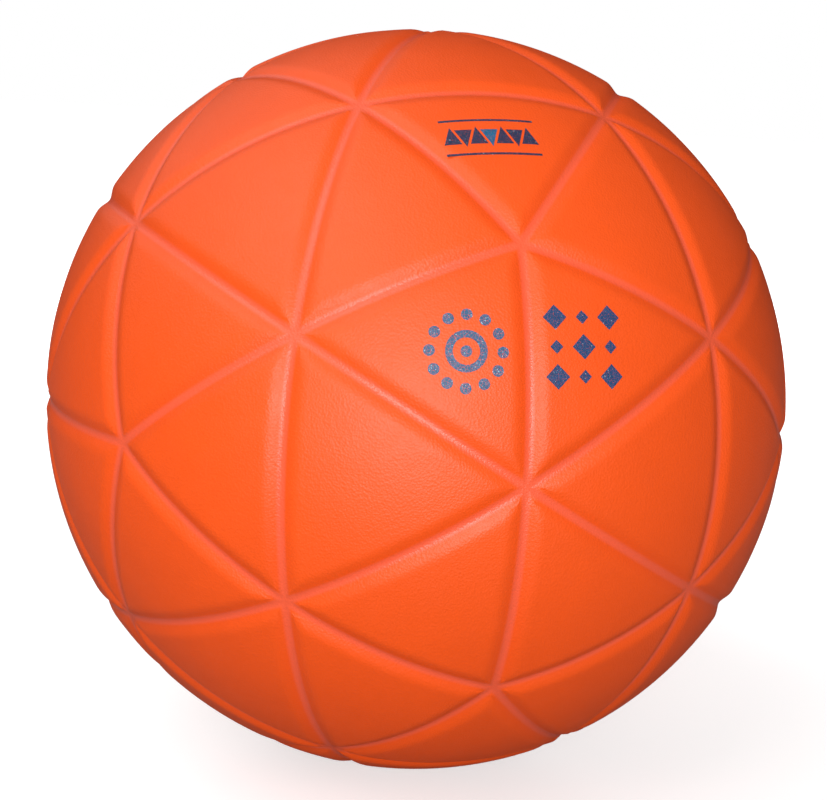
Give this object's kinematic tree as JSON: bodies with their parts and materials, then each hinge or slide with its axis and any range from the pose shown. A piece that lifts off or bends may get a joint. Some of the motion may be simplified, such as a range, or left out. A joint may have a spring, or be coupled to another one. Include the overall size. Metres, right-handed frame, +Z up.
{
  "type": "dodgeball",
  "caption": "Soft moulded inflatable ball with a net of grooves round triangular panels, and a rubber needle valve at the back.",
  "frame": {"origin": "centre of the ball", "axes": "+Z up, -Y towards the front as pictured, +Y out of the valve at the back"},
  "size_m": [0.1618, 0.1617, 0.1614],
  "materials": {
    "cover_rubber": "soft satin with fine moulded grain",
    "sponge_rubber": "closed-cell sponge",
    "carcass_rubber": "calendered",
    "nylon_thread": "wound thread set in latex",
    "butyl_rubber": "smooth",
    "valve_rubber": "moulded",
    "core_rubber": "moulded"
  },
  "bodies": {
    "ball": {"cover_skin": "cover_rubber", "sponge_layer": "sponge_rubber", "carcass_skin": "carcass_rubber", "winding": "nylon_thread", "bladder": "butyl_rubber", "valve_patch": "butyl_rubber", "valve_body": "valve_rubber"},
    "core": {"valve_core": "core_rubber"}
  },
  "joints": [
    {"name": "core_pull", "type": "slide", "parent": "ball", "child": "core", "axis": [0, 1, 0], "range_m": [0, 0.017]}
  ]
}
